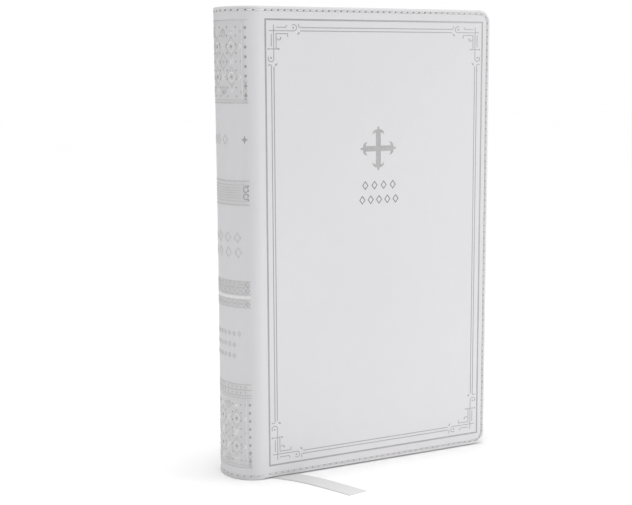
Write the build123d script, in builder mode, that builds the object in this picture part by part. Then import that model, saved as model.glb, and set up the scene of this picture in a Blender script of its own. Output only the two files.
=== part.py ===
from build123d import *
import os
from math import cos, pi, radians, sin, tan

os.makedirs("parts", exist_ok=True)

# A flexible gift-edition book in stitched imitation leather, standing on its tail edges.
# X runs from the spine (-X) to the fore edge (+X), Y from the front cover (-Y) to the back
# cover (+Y), Z from the tail (0) to the head. Millimetres throughout.

# ---------------------------------------------------------------- driving dimensions
BOOK_WIDTH = 138.0
BOOK_HEIGHT = 219.0
BOOK_THICKNESS = 33.0
SPINE_DEPTH = 14.0  # how far the rounded spine stands out behind the hinge lines
CORNER_RADIUS = 6.0  # fore-edge corners of both covers

LEATHER = 0.8
BOARD = 1.2
TURN_IN_THICKNESS = 0.5
TURN_IN_WIDTH = 13.0
PASTEDOWN = 0.2
PASTEDOWN_INSET = 4.0
BOARD_INSET = 1.0
BOARD_SPINE_GAP = 6.0  # bare leather between the hinge line and the board
HINGE_HALF_GAP = 0.15  # half of the slit between the spine leather and a cover's leather
OUTER_EDGE_RADIUS = 0.9
INNER_EDGE_RADIUS = 0.5
FRONT_LIFT = 0.4  # the front cover's tail clears the ribbon that lies on the floor

BLOCK_HALF = 14.0  # half the thickness of all the paper
BLOCK_BACK = 10.5  # how far the rounded back of the paper stands behind the hinge lines
SQUARE = 3.5  # the covers' overhang at head and tail
FORE_SQUARE = 4.0
FORE_HOLLOW = 4.0  # depth of the concave fore edge
LEAF = 0.25
LEAF_GAP = 0.05
SECTION = 1.6
TURNING_SECTIONS = 3  # on each side; their free leaves turn, their folds stay sewn
CORE_SECTIONS = 10
RIBBON_SLOT = 0.4

STITCH_LENGTH = 2.3
STITCH_PITCH = 3.2
STITCH_WIDTH = 0.5
STITCH_HEIGHT = 0.3
STITCH_INSET = 1.8
GROOVE_WIDTH = 0.9

DEBOSS = 0.2
FOIL = 0.1
FRAME_LEFT = 16.6  # from the back of the spine to the frame's left line
FRAME_SIZE = (116.6, 206.8)
FRAME_MARGIN = 6.3  # tail edge of the book to the frame's lowest line
OUTER_LINE = 0.8
INNER_LINE = 0.45
INNER_SIDE_INSETS = (2.9, 4.1)
INNER_END_INSETS = (3.5, 5.0)
CORNER_SPAN = (17.5, 21.0)  # how much of each inner line a corner scroll takes up
SCROLL_LINE = 0.4
CURL = 1.4
HOOK = 0.9
CROSS_CENTRE = (5.9, 153.6)
CROSS_ARM = 2.6
CROSS_REACH = (9.9, 10.6)
BARB = (4.3, 3.1)  # how far back from an arm's tip, and out from its middle, a barb ends
SPIKE = 0.55
ORNAMENT_ROWS = ((136.2, 4, 5.0), (129.3, 5, 4.55))  # height, count, spacing
ORNAMENT_X = 6.4
ORNAMENT_SIZE = (3.4, 4.4)
ORNAMENT_STROKE = 0.6

PANEL_HALF_WIDTH = 15.1  # across the spine, where its stamping ends
HEAD_PANEL = (175.8, 213.0)
TAIL_PANEL = (5.8, 39.8)
SPINE_LINES = (40.6, 43.2, 45.8, 82.2, 85.6, 88.4, 91.6, 94.4, 129.6, 131.6, 138.6, 140.6)
SPINE_LINE_HEIGHT = 0.5
SPINE_MARK_ROWS = ((159.5, 3), (114.8, 5), (107.9, 5), (69.9, 7), (64.6, 7), (59.4, 7))
SPINE_MARK = (2.2, 3.2)
SPINE_MARK_PITCH = 4.0

RIBBON_WIDTH = 10.0
RIBBON_THICKNESS = 0.25
RIBBON_X = -57.0
RIBBON_HEIGHT = 0.15  # its middle above the floor
RIBBON_ROUTE = ((-39.5, -22.5), (-25.5, -54.0))  # where its floor run turns, and its tip

# ---------------------------------------------------------------- worked-out dimensions
HALF = BOOK_THICKNESS / 2
SPINE_X = -BOOK_WIDTH / 2
FORE_X = BOOK_WIDTH / 2
HINGE_X = SPINE_X + SPINE_DEPTH
COVER_X = HINGE_X + HINGE_HALF_GAP
COVER_LEATHER = LEATHER + BOARD
COVER_DEPTH = COVER_LEATHER + PASTEDOWN
BLOCK_LOW = SQUARE
BLOCK_HIGH = BOOK_HEIGHT - SQUARE
BLOCK_HEIGHT = BLOCK_HIGH - BLOCK_LOW
BLOCK_FORE = FORE_X - FORE_SQUARE
FORE_ARC = (BLOCK_HALF**2 + FORE_HOLLOW**2) / (2 * FORE_HOLLOW)
LEAF_X = HINGE_X + 0.1
FOLD_X = HINGE_X - 0.05
HEAD_TAB = RIBBON_THICKNESS


def save(builder, name):
    """Label a finished piece and write it."""
    builder.part.label = name
    export_step(builder.part, f"parts/{name}.step")


def level(side, near, far):
    """The plane at the higher-Y face of a layer, given by its depths below a cover's outer face.

    Its normal is -Y, so a layer is a sketch on it extruded by far - near.
    """
    y = far - HALF if side < 0 else HALF - near
    return Plane.XZ.offset(-y)


def plate(side, near, far, left, right, low, high):
    """A flat sheet parallel to the covers."""
    with BuildPart() as sheet:
        with BuildSketch(level(side, near, far)):
            with Locations(((left + right) / 2, (low + high) / 2)):
                Rectangle(right - left, high - low)
        extrude(amount=far - near)
    return sheet


def curved_band(outer, inner, half_width, low, high):
    """A shell along the spine between two half ellipses, each given as (depth, half thickness)."""
    with BuildPart() as band:
        with BuildSketch(Plane.XY.offset(low)):
            with Locations((HINGE_X, 0)):
                Ellipse(*outer)
                Ellipse(*inner, mode=Mode.SUBTRACT)
            with Locations((HINGE_X - HINGE_HALF_GAP, 0)):
                Rectangle(2 * SPINE_DEPTH, 2 * half_width, align=(Align.MAX, Align.CENTER), mode=Mode.INTERSECT)
        extrude(amount=high - low)
    return band


def spine_shell(depth):
    """The spine's outline, a given depth below its outer face."""
    return (SPINE_DEPTH - depth, HALF - depth)


def block_shell(layer):
    """The outline of a lining, a given height above the back of the paper."""
    return (BLOCK_BACK + layer, BLOCK_HALF + layer)


# ---------------------------------------------------------------- stamping on the front cover
def bar(centre_x, centre_y, width, height):
    """One straight stroke of the open sketch."""
    with Locations((centre_x, centre_y)):
        Rectangle(width, height)


def corner_strokes():
    """The centre lines of a corner scroll: a stepped bracket, a crossbar and its curls."""
    side_a, side_b = INNER_SIDE_INSETS
    end_a, end_b = INNER_END_INSETS
    span_x, span_y = CORNER_SPAN
    bracket_x, bracket_y = side_b + 1.2, end_b + 1.3
    bar_y = bracket_y + 6.8
    curl_x, curl_y = span_x - 3.3, span_y - 3.6
    return (
        Polyline((side_a - 1.2, end_b), (curl_x, end_b)),
        Polyline((side_b, end_a - 1.2), (side_b, curl_y)),
        Polyline((bracket_x, end_a), (curl_x - 4.6, end_a)),
        Polyline((side_a, bracket_y), (side_a, bar_y - 1.2)),
        Polyline((bracket_x, bar_y), (bracket_x, bracket_y), (bracket_x + 5.8, bracket_y)),
        Polyline((bracket_x + 5.8, bracket_y - 0.2), (bracket_x + 5.8, bracket_y + 1.5)),
        Polyline((side_a - 1.5, bar_y), (side_b + 2.5, bar_y)),
        CenterArc((curl_x, end_b - CURL), CURL, 90, -130),
        CenterArc((curl_x, end_b - CURL), CURL, -38, -90),
        CenterArc((side_b - CURL, curl_y), CURL, 0, 130),
        CenterArc((side_b - CURL, curl_y), CURL, 128, 90),
        CenterArc((curl_x - 4.6, end_a - HOOK), HOOK, 90, -110),
        CenterArc((span_x, end_a - HOOK), HOOK, 90, 150),
        CenterArc((side_a - HOOK, span_y), HOOK, 0, -150),
        CenterArc((bracket_x + 1.4, bracket_y + 1.9), HOOK, 170, -190),
    )


def corner_scroll():
    """One corner scroll with its dots and leaves, worked inwards from the frame's corner."""
    strokes = corner_strokes()
    side_b, end_b = INNER_SIDE_INSETS[1], INNER_END_INSETS[1]
    span_x, span_y = CORNER_SPAN
    with BuildSketch(mode=Mode.PRIVATE) as scroll:
        for stroke in strokes:
            trace(stroke, line_width=SCROLL_LINE)
        with Locations((span_x - 3.6, end_b - CURL), (side_b - CURL, span_y - 3.9)):
            Circle(0.45)
        with Locations((side_b + 2.5, end_b + 8.1), (INNER_SIDE_INSETS[0] - 1.5, end_b + 8.1)):
            Circle(0.4)
        with Locations((side_b + 3.4, end_b + 3.2)):
            Circle(0.4)
        for x, y, angle in ((span_x - 0.9, end_b + 1.1, -50), (side_b + 1.1, span_y - 0.9, 140)):
            with Locations(Location((x, y, 0), (0, 0, angle))):
                Polygon((-1.2, 0), (0, -0.45), (0.9, 0), (0, 0.45))
    return scroll.sketch


CORNER_SCROLL = corner_scroll()


def frame_lines():
    """The frame's single outer line and its double inner lines, stopped short of the corners."""
    width, height = FRAME_SIZE
    centre = (SPINE_X + FRAME_LEFT + width / 2, FRAME_MARGIN + height / 2)
    with Locations(centre):
        Rectangle(width + OUTER_LINE, height + OUTER_LINE)
        Rectangle(width - OUTER_LINE, height - OUTER_LINE, mode=Mode.SUBTRACT)
    for inset in INNER_SIDE_INSETS:
        for sign in (-1, 1):
            bar(centre[0] + sign * (width / 2 - inset), centre[1], INNER_LINE, height - 2 * CORNER_SPAN[1])
    for inset in INNER_END_INSETS:
        for sign in (-1, 1):
            bar(centre[0], centre[1] + sign * (height / 2 - inset), width - 2 * CORNER_SPAN[0], INNER_LINE)


def corner_scrolls():
    """The four corner scrolls, placed on the frame's corners."""
    left = SPINE_X + FRAME_LEFT
    right = left + FRAME_SIZE[0]
    top = FRAME_MARGIN + FRAME_SIZE[1]
    mirrored = mirror(CORNER_SCROLL, about=Plane.YZ, mode=Mode.PRIVATE)
    for scroll, x in ((CORNER_SCROLL, left), (mirrored, right)):
        with Locations((x, FRAME_MARGIN)):
            add(scroll)
        with Locations((x, top)):
            add(mirror(scroll, about=Plane.XZ, mode=Mode.PRIVATE))


def cross_arm(reach):
    """One arm of the cross along +X: a bar with a pointed end and two swept-back barbs."""
    half = CROSS_ARM / 2
    neck, barb = (reach - BARB[0] + 1.1, -half), (reach - BARB[0], -BARB[1])
    shoulder = (reach - 1.6, -SPIKE)
    with BuildSketch(mode=Mode.PRIVATE) as arm:
        with BuildLine() as outline:
            Line((0, -half), neck)
            ThreePointArc(neck, (neck[0] - 0.1, -BARB[1] + 0.8), barb)
            ThreePointArc(barb, (barb[0] + 1.9, -BARB[1] + 0.5), shoulder)
            Polyline(shoulder, (reach - 0.9, -SPIKE - 0.05), (reach, 0))
            mirror(outline.line, about=Plane.XZ)
            Line((0, -half), (0, half))
        make_face()
    return arm.sketch


CROSS_ARMS = [cross_arm(reach) for reach in CROSS_REACH]


def cross_shape():
    """A plain cross with four barbed arms, the upright a little longer."""
    for quarter in range(4):
        with Locations(Location((*CROSS_CENTRE, 0), (0, 0, 90 * quarter))):
            add(CROSS_ARMS[quarter % 2])


def ornament_rows():
    """Two rows of small hollow lozenges below the cross."""
    width, height = ORNAMENT_SIZE
    for row_height, count, spacing in ORNAMENT_ROWS:
        for index in range(count):
            x = ORNAMENT_X + (index - (count - 1) / 2) * spacing
            with Locations((x, row_height)):
                Polygon((-width / 2, 0), (0, -height / 2), (width / 2, 0), (0, height / 2))
                inner = 1 - 2 * ORNAMENT_STROKE / width
                Polygon(
                    (-width / 2 * inner, 0), (0, -height / 2 * inner),
                    (width / 2 * inner, 0), (0, height / 2 * inner), mode=Mode.SUBTRACT,
                )


FRONT_STAMPS = {
    "front_frame_lines": frame_lines,
    "front_corner_scrolls": corner_scrolls,
    "front_cross": cross_shape,
    "front_ornament_rows": ornament_rows,
}


# ---------------------------------------------------------------- covers
def stitch_line(low):
    """The stitching's path round a cover, from the spine along the head, fore edge and tail."""
    start = COVER_X + STITCH_PITCH / 2
    end = FORE_X - STITCH_INSET
    top = BOOK_HEIGHT - STITCH_INSET
    bottom = low + STITCH_INSET
    return FilletPolyline(
        (start, top), (end, top), (end, bottom), (start, bottom), radius=CORNER_RADIUS - STITCH_INSET
    )


def cover_leather(side, low, stamps):
    """The leather of one cover, turned in over the board's edges."""
    outer = 0 if side < 0 else -1
    with BuildPart() as leather:
        with BuildSketch(level(side, 0, COVER_LEATHER)) as outline:
            with Locations(((COVER_X + FORE_X) / 2, (low + BOOK_HEIGHT) / 2)):
                Rectangle(FORE_X - COVER_X, BOOK_HEIGHT - low)
            fillet(outline.vertices().group_by(Axis.X)[-1], CORNER_RADIUS)
        extrude(amount=COVER_LEATHER)
        faces = leather.faces().filter_by(Axis.Y).sort_by(Axis.Y)
        for face, radius in ((faces[outer], OUTER_EDGE_RADIUS), (faces[-1 - outer], INNER_EDGE_RADIUS)):
            fillet(face.edges().filter_by(lambda edge: edge.center().X > COVER_X + 1), radius)
        with BuildSketch(level(side, LEATHER, COVER_LEATHER - TURN_IN_THICKNESS)):
            board_outline(low, BOARD_INSET)
        extrude(amount=BOARD - TURN_IN_THICKNESS, mode=Mode.SUBTRACT)
        with BuildSketch(level(side, COVER_LEATHER - TURN_IN_THICKNESS, COVER_LEATHER)):
            board_outline(low, TURN_IN_WIDTH + BOARD_INSET)
        extrude(amount=TURN_IN_THICKNESS, mode=Mode.SUBTRACT)
        with BuildSketch(level(side, 0, STITCH_HEIGHT)):
            with BuildLine():
                stitch_line(low)
            trace(line_width=GROOVE_WIDTH)
        extrude(amount=STITCH_HEIGHT, mode=Mode.SUBTRACT)
        for stamp in stamps:
            with BuildSketch(level(side, 0, DEBOSS)):
                stamp()
            extrude(amount=DEBOSS, mode=Mode.SUBTRACT)
    return leather


def board_outline(low, inset):
    """The board's outline in the open sketch, drawn in from the cover's edges and rounded as they are."""
    left = HINGE_X + BOARD_SPINE_GAP + inset - BOARD_INSET
    right = FORE_X - inset
    bottom = low + inset
    top = BOOK_HEIGHT - inset
    bar((left + right) / 2, (bottom + top) / 2, right - left, top - bottom)
    if inset < CORNER_RADIUS:
        fillet(vertices().group_by(Axis.X)[-1], CORNER_RADIUS - inset)


def cover_board(side, low):
    """The board: full size under the leather, with its rim thinned for the turn-ins."""
    with BuildPart() as board:
        with BuildSketch(level(side, LEATHER, COVER_LEATHER - TURN_IN_THICKNESS)):
            board_outline(low, BOARD_INSET)
        extrude(amount=BOARD - TURN_IN_THICKNESS)
        with BuildSketch(level(side, COVER_LEATHER - TURN_IN_THICKNESS, COVER_LEATHER)):
            board_outline(low, TURN_IN_WIDTH + BOARD_INSET)
        extrude(amount=TURN_IN_THICKNESS)
    return board


def cover_stitching(side, low):
    """Every stitch of one cover, lying flush in the groove."""
    with BuildLine(Plane.XZ.offset(-side * HALF)) as path:
        stitch_line(low)
    wire = path.wire()
    count = int(wire.length / STITCH_PITCH)
    places = []
    for index in range(count):
        distance = (index + 0.5) / count
        places.append(Plane(origin=wire @ distance, x_dir=wire % distance, z_dir=(0, side, 0)))
    with BuildPart() as stitches:
        with Locations(*places):
            Box(STITCH_LENGTH, STITCH_WIDTH, STITCH_HEIGHT, align=(Align.CENTER, Align.CENTER, Align.MAX))
    return stitches


for name, side, low, stamps in (
    ("front", -1, FRONT_LIFT, FRONT_STAMPS.values()),
    ("back", 1, 0.0, ()),
):
    save(cover_leather(side, low, stamps), f"{name}_cover_leather")
    save(cover_board(side, low), f"{name}_board")
    pastedown = plate(
        side, COVER_LEATHER, COVER_DEPTH, COVER_X + 0.3, FORE_X - PASTEDOWN_INSET,
        PASTEDOWN_INSET, BOOK_HEIGHT - PASTEDOWN_INSET,
    )
    save(pastedown, f"{name}_pastedown")
    save(cover_stitching(side, low), f"{name}_cover_stitching")

for name, stamp in FRONT_STAMPS.items():
    with BuildPart() as foil:
        with BuildSketch(level(-1, DEBOSS - FOIL, DEBOSS)):
            stamp()
        extrude(amount=FOIL)
    save(foil, name)

# ---------------------------------------------------------------- spine
HEADCAP = 12.0  # how far the spine leather turns in at head and tail
INLAY = 0.6
STITCH_SINK = 0.08  # keeps the straight stitches below the curved leather
SPINE_STITCH_REACH = 76.0  # degrees each way round the ellipse


def on_spine(angle):
    """A point and its outward direction on the spine's outline, measured from its middle."""
    x = HINGE_X - SPINE_DEPTH * cos(radians(angle))
    y = HALF * sin(radians(angle))
    outward = Vector(-HALF * cos(radians(angle)), SPINE_DEPTH * sin(radians(angle)), 0)
    return x, y, outward.normalized()


def spine_mark_boxes():
    """Blocks that cut the spine's rows of marks out of a foil shell."""
    with BuildPart() as boxes:
        for height, count in SPINE_MARK_ROWS:
            for index in range(count):
                y = (index - (count - 1) / 2) * SPINE_MARK_PITCH
                with Locations((SPINE_X, y, height)):
                    Box(2 * SPINE_DEPTH, SPINE_MARK[0], SPINE_MARK[1])
    return boxes


def spine_stamp(name, top, bottom):
    """The solids of one spine stamping between two depths below the leather's face."""
    outer, inner = spine_shell(top), spine_shell(bottom)
    if name == "spine_head_panel":
        return [curved_band(outer, inner, PANEL_HALF_WIDTH, *HEAD_PANEL).part]
    if name == "spine_tail_panel":
        return [curved_band(outer, inner, PANEL_HALF_WIDTH, *TAIL_PANEL).part]
    if name == "spine_band_lines":
        heights = [(height, height + SPINE_LINE_HEIGHT) for height in SPINE_LINES]
        return [curved_band(outer, inner, PANEL_HALF_WIDTH, *span).part for span in heights]
    shell = curved_band(outer, inner, PANEL_HALF_WIDTH, 0, BOOK_HEIGHT).part
    return [shell & spine_mark_boxes().part]


SPINE_STAMPS = ("spine_head_panel", "spine_tail_panel", "spine_band_lines", "spine_marks")

spine_cuts = []
for name in SPINE_STAMPS:
    spine_cuts += spine_stamp(name, 0, DEBOSS)
    with BuildPart() as foil:
        for piece in spine_stamp(name, DEBOSS - FOIL, DEBOSS):
            add(piece)
    save(foil, name)

groove_depth = STITCH_HEIGHT + 2 * STITCH_SINK
stitch_rows = (STITCH_INSET, BOOK_HEIGHT - STITCH_INSET)
with BuildPart() as spine_leather:
    add(curved_band(spine_shell(0), spine_shell(LEATHER), HALF, 0, BOOK_HEIGHT).part)
    for low in (0, BOOK_HEIGHT - HEADCAP):
        add(curved_band(spine_shell(LEATHER), spine_shell(LEATHER + INLAY), BLOCK_HALF, low, low + HEADCAP).part)
    for height in stitch_rows:
        groove = curved_band(
            spine_shell(-1), spine_shell(groove_depth), HALF, height - GROOVE_WIDTH / 2, height + GROOVE_WIDTH / 2
        )
        add(groove.part, mode=Mode.SUBTRACT)
    for cut in spine_cuts:
        add(cut, mode=Mode.SUBTRACT)
save(spine_leather, "spine_leather")

spine_arc = pi * (SPINE_DEPTH + HALF) / 2 * 2 * SPINE_STITCH_REACH / 180
spine_stitch_count = int(spine_arc / STITCH_PITCH)
with BuildPart() as spine_stitching:
    for height in stitch_rows:
        for index in range(spine_stitch_count):
            angle = (2 * (index + 0.5) / spine_stitch_count - 1) * SPINE_STITCH_REACH
            x, y, outward = on_spine(angle)
            seat = Vector(x, y, height) - outward * STITCH_SINK
            with Locations(Plane(origin=seat, x_dir=outward.cross(Vector(0, 0, 1)), z_dir=outward)):
                Box(STITCH_LENGTH, STITCH_WIDTH, STITCH_HEIGHT, align=(Align.CENTER, Align.CENTER, Align.MAX))
save(spine_stitching, "spine_stitching")

inlay_low, inlay_high = HEADCAP, BOOK_HEIGHT - HEADCAP
spine_inlay = curved_band(
    spine_shell(LEATHER), spine_shell(LEATHER + INLAY), BLOCK_HALF - 1, inlay_low, inlay_high
)
save(spine_inlay, "spine_inlay")

# ---------------------------------------------------------------- linings on the back of the paper
THREAD = 0.25
MULL = 0.25
LINING_PAPER = 0.25
TUBE_WALL = 0.2
TUBE_GAP = 0.2
MULL_HALF_WIDTH = 12.5
TUBE_HALF_WIDTH = 10.0
LINING_INSET = 2.0
SEWING_STATIONS = 6
THREAD_HEIGHT = 0.6
BAND_HEIGHT = 1.7
BAND_INNER, BAND_OUTER = -1.2, 1.2

mull_at = THREAD
paper_at = mull_at + MULL
tube_at = paper_at + LINING_PAPER
with BuildPart() as sewing_thread:
    for index in range(SEWING_STATIONS):
        height = BLOCK_LOW + BLOCK_HEIGHT * (index + 0.5) / SEWING_STATIONS
        thread = curved_band(block_shell(THREAD), block_shell(0), MULL_HALF_WIDTH, height, height + THREAD_HEIGHT)
        add(thread.part)
save(sewing_thread, "sewing_thread")

lining_span = (BLOCK_LOW + LINING_INSET, BLOCK_HIGH - LINING_INSET)
save(curved_band(block_shell(paper_at), block_shell(mull_at), MULL_HALF_WIDTH, *lining_span), "spine_mull")
save(
    curved_band(block_shell(tube_at), block_shell(paper_at), TUBE_HALF_WIDTH + 1, *lining_span),
    "spine_lining_paper",
)

tube_outside = tube_at + 2 * TUBE_WALL + TUBE_GAP
hollow = curved_band(
    block_shell(tube_outside - TUBE_WALL), block_shell(tube_at + TUBE_WALL), TUBE_HALF_WIDTH - 1, *lining_span
)
with BuildPart() as hollow_tube:
    add(curved_band(block_shell(tube_outside), block_shell(tube_at), TUBE_HALF_WIDTH, *lining_span).part)
    add(hollow.part, mode=Mode.SUBTRACT)
save(hollow_tube, "hollow_tube")

head_band_low = BLOCK_HIGH + HEAD_TAB
for name, low in (("headband", head_band_low), ("tailband", BLOCK_LOW - BAND_HEIGHT)):
    band = curved_band(
        block_shell(BAND_OUTER), block_shell(BAND_INNER), TUBE_HALF_WIDTH, low, low + BAND_HEIGHT
    )
    save(band, name)


# ---------------------------------------------------------------- paper
def section(y_low, y_high, left, right=BLOCK_FORE):
    """Folded paper between two Y levels, cut to the block's rounded back and hollow fore edge."""
    with BuildPart() as paper:
        with BuildSketch(Plane.XY.offset(BLOCK_LOW)):
            with Locations((HINGE_X, 0)):
                Ellipse(BLOCK_BACK, BLOCK_HALF)
                Rectangle(BLOCK_FORE - HINGE_X, 2 * BLOCK_HALF, align=(Align.MIN, Align.CENTER))
            with Locations((left, (y_low + y_high) / 2)):
                Rectangle(right - left, y_high - y_low, align=(Align.MIN, Align.CENTER), mode=Mode.INTERSECT)
            with Locations((BLOCK_FORE - FORE_HOLLOW + FORE_ARC, 0)):
                Circle(FORE_ARC, mode=Mode.SUBTRACT)
        extrude(amount=BLOCK_HEIGHT)
    return paper


depth = HALF - BLOCK_HALF
for front_name, back_name in (
    ("front_flyleaf", "back_flyleaf"), ("presentation_leaf", "map_leaf_2"), ("title_leaf", "map_leaf_1"),
):
    for name, side in ((front_name, -1), (back_name, 1)):
        leaf = plate(side, depth, depth + LEAF, LEAF_X, BLOCK_FORE, BLOCK_LOW, BLOCK_HIGH)
        save(leaf, name)
    depth += LEAF + LEAF_GAP

section_count = CORE_SECTIONS + 2 * TURNING_SECTIONS
for index in range(TURNING_SECTIONS):
    outer_face = HALF - depth
    for number, y_low in ((index + 1, -outer_face), (section_count - index, outer_face - SECTION)):
        save(section(y_low, y_low + SECTION, LEAF_X), f"section_{number:02d}_leaves")
        save(section(y_low, y_low + SECTION, SPINE_X, FOLD_X), f"section_{number:02d}_folds")
    depth += SECTION + LEAF_GAP

core_half = HALF - depth
core_pitch = (core_half - RIBBON_SLOT / 2) / (CORE_SECTIONS / 2)
for index in range(CORE_SECTIONS):
    ribbon_side = 1 if index >= CORE_SECTIONS / 2 else 0
    y_low = -core_half + index * core_pitch + ribbon_side * RIBBON_SLOT
    save(section(y_low, y_low + core_pitch, SPINE_X), f"section_{index + TURNING_SECTIONS + 1:02d}")

# ---------------------------------------------------------------- ribbon marker
TAB_LENGTH = 6.0
with BuildPart() as ribbon_marker:
    with Locations((RIBBON_X, 0, (BLOCK_LOW + BLOCK_HIGH) / 2)):
        Box(RIBBON_WIDTH, RIBBON_THICKNESS, BLOCK_HEIGHT)
    with Locations((RIBBON_X - RIBBON_WIDTH / 2 + 2, 0, BLOCK_HIGH + HEAD_TAB / 2)):
        Box(TAB_LENGTH, RIBBON_WIDTH, HEAD_TAB, align=(Align.MAX, Align.CENTER, Align.CENTER))
save(ribbon_marker, "ribbon_marker")

route = [
    Vector(RIBBON_X, 0, BLOCK_LOW),
    Vector(RIBBON_X, 0, RIBBON_HEIGHT),
    *(Vector(x, y, RIBBON_HEIGHT) for x, y in RIBBON_ROUTE),
]
runs = [after - before for before, after in zip(route, route[1:])]
bends = []
for before, after in zip(runs, runs[1:]):
    turn = before.get_angle(after)
    bends.append(0.45 * min(before.length, after.length) / tan(radians(turn / 2)))
floor_direction = runs[1].normalized()
with BuildPart() as ribbon_tail:
    with BuildLine() as ribbon_path:
        FilletPolyline(*route, radius=bends)
    across = floor_direction.cross(Vector(0, 0, 1))
    with BuildSketch(Plane(origin=route[0], x_dir=across, z_dir=(0, 0, -1))):
        Rectangle(RIBBON_WIDTH, RIBBON_THICKNESS)
    sweep()
save(ribbon_tail, "ribbon_tail")

ribbon_length = ribbon_path.wire().length
print("ribbon bend radii", [round(bend, 1) for bend in bends], "length", round(ribbon_length, 1))
print("ribbon volume ratio", ribbon_tail.part.volume / (ribbon_length * RIBBON_WIDTH * RIBBON_THICKNESS))
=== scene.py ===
"""A white bible in stitched imitation leather, standing closed with its ribbon on the table."""
import math

import bmesh
import bpy
from mathutils import Matrix, Vector


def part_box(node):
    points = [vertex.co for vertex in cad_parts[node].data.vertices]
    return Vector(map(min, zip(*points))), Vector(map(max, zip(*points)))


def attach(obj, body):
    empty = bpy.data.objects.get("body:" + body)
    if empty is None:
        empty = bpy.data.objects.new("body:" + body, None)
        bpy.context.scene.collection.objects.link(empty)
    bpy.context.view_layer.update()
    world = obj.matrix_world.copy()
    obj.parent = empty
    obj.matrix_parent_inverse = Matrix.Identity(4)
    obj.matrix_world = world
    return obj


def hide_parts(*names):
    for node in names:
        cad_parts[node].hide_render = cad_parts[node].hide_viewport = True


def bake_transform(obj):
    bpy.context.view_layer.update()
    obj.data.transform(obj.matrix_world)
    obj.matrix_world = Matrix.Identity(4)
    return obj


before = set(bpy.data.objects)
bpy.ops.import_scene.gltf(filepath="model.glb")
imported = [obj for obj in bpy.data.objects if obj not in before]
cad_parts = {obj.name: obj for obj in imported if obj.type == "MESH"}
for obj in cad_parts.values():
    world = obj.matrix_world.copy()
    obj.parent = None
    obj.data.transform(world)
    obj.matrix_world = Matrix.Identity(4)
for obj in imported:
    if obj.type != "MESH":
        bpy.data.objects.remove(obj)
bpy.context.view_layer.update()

MM = 0.001
scene = bpy.context.scene

# ------------------------------------------------------------------ sizes, in metres
HINGE_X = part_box("spine_leather")[1][0] + 0.15 * MM
HALF = 16.5 * MM  # half the closed book's thickness
HEIGHT = 219 * MM
FORE_X = 69 * MM
CORNER_RADIUS = 6 * MM
FRONT_LIFT = 0.4 * MM  # the front cover clears the table

SPINE_DEPTH = 14 * MM
SPINE_WAIST = 0.55 * MM
SPINE_ROLL = 15.3 * MM  # arc length on the spine for one radian
SPINE_FACE = -0.05 * MM  # depth of the foil under the leather's face; below zero it stands proud
SPINE_STEPS = 96
LINE_STEPS = 44
LEATHER = 0.8 * MM
FOLDED_LEATHER = 1.4 * MM
TURN_IN = 12 * MM

BEND_START = HINGE_X + 0.1 * MM  # the hinge span lies between these two lines
BEND_END = HINGE_X + 4.6 * MM
CUT_STEP = 0.4 * MM  # between the cuts at a cover's hinge
CUTS_AT_HINGE = 13
SPINE_LAP = 0.02 * MM  # how far a cover's leather reaches past the hinge line

BLOCK_HALF = 14 * MM
BLOCK_BACK = 10.5 * MM
BLOCK_FORE = 65 * MM
FORE_ARC = 26.5 * MM
FORE_HOLLOW = 4 * MM
LEAVES_IN_SECTION = 8
LEAF_STEPS = 26
LEAF_BEND = (HINGE_X + 0.5 * MM, HINGE_X + 16 * MM)

STITCH_PITCH = 3.2 * MM
STITCH_INSET = 1.8 * MM
GROOVE_DEPTH = 0.26 * MM

RIBBON_HALF = 5 * MM
RIBBON_HALF_THICK = 0.125 * MM
RIBBON_STRANDS = 12
RIBBON_TWIST = (3 * MM, 16 * MM)  # where the twist starts along the ribbon, and its length
RIBBON_SLANT = 0.22
RIBBON_CUT = 4 * MM
RIBBON_RIPPLE = 0.05 * MM
RIBBON_WAVE = 9 * MM
RIBBON_GLUED = 6 * MM
RIBBON_LEVEL_FROM = 24  # first point of the line that lies on the table

ROOM_LIGHT = 0.40
CAMERA_PLACE = (-0.28621, -0.52654, 0.19030)
CAMERA_TURN = (26.894, 8.382, -0.289)  # yaw, pitch and roll in degrees
CAMERA_LENS = 70.346

REST_PLACE = "place_at_rest"
PAGE_FACE = "page_face"


# ------------------------------------------------------------------ node trees as expressions
class Link:
    """One output of a node, with arithmetic that adds Math nodes."""

    def __init__(self, graph, socket):
        self.graph = graph
        self.socket = socket

    def __add__(self, other):
        return self.graph.math("ADD", self, other)

    __radd__ = __add__

    def __mul__(self, other):
        return self.graph.math("MULTIPLY", self, other)

    __rmul__ = __mul__

    def __sub__(self, other):
        return self.graph.math("SUBTRACT", self, other)

    def __rsub__(self, other):
        return self.graph.math("SUBTRACT", other, self)

    def __truediv__(self, other):
        return self.graph.math("DIVIDE", self, other)

    def __pow__(self, other):
        return self.graph.math("POWER", self, other)


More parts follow.
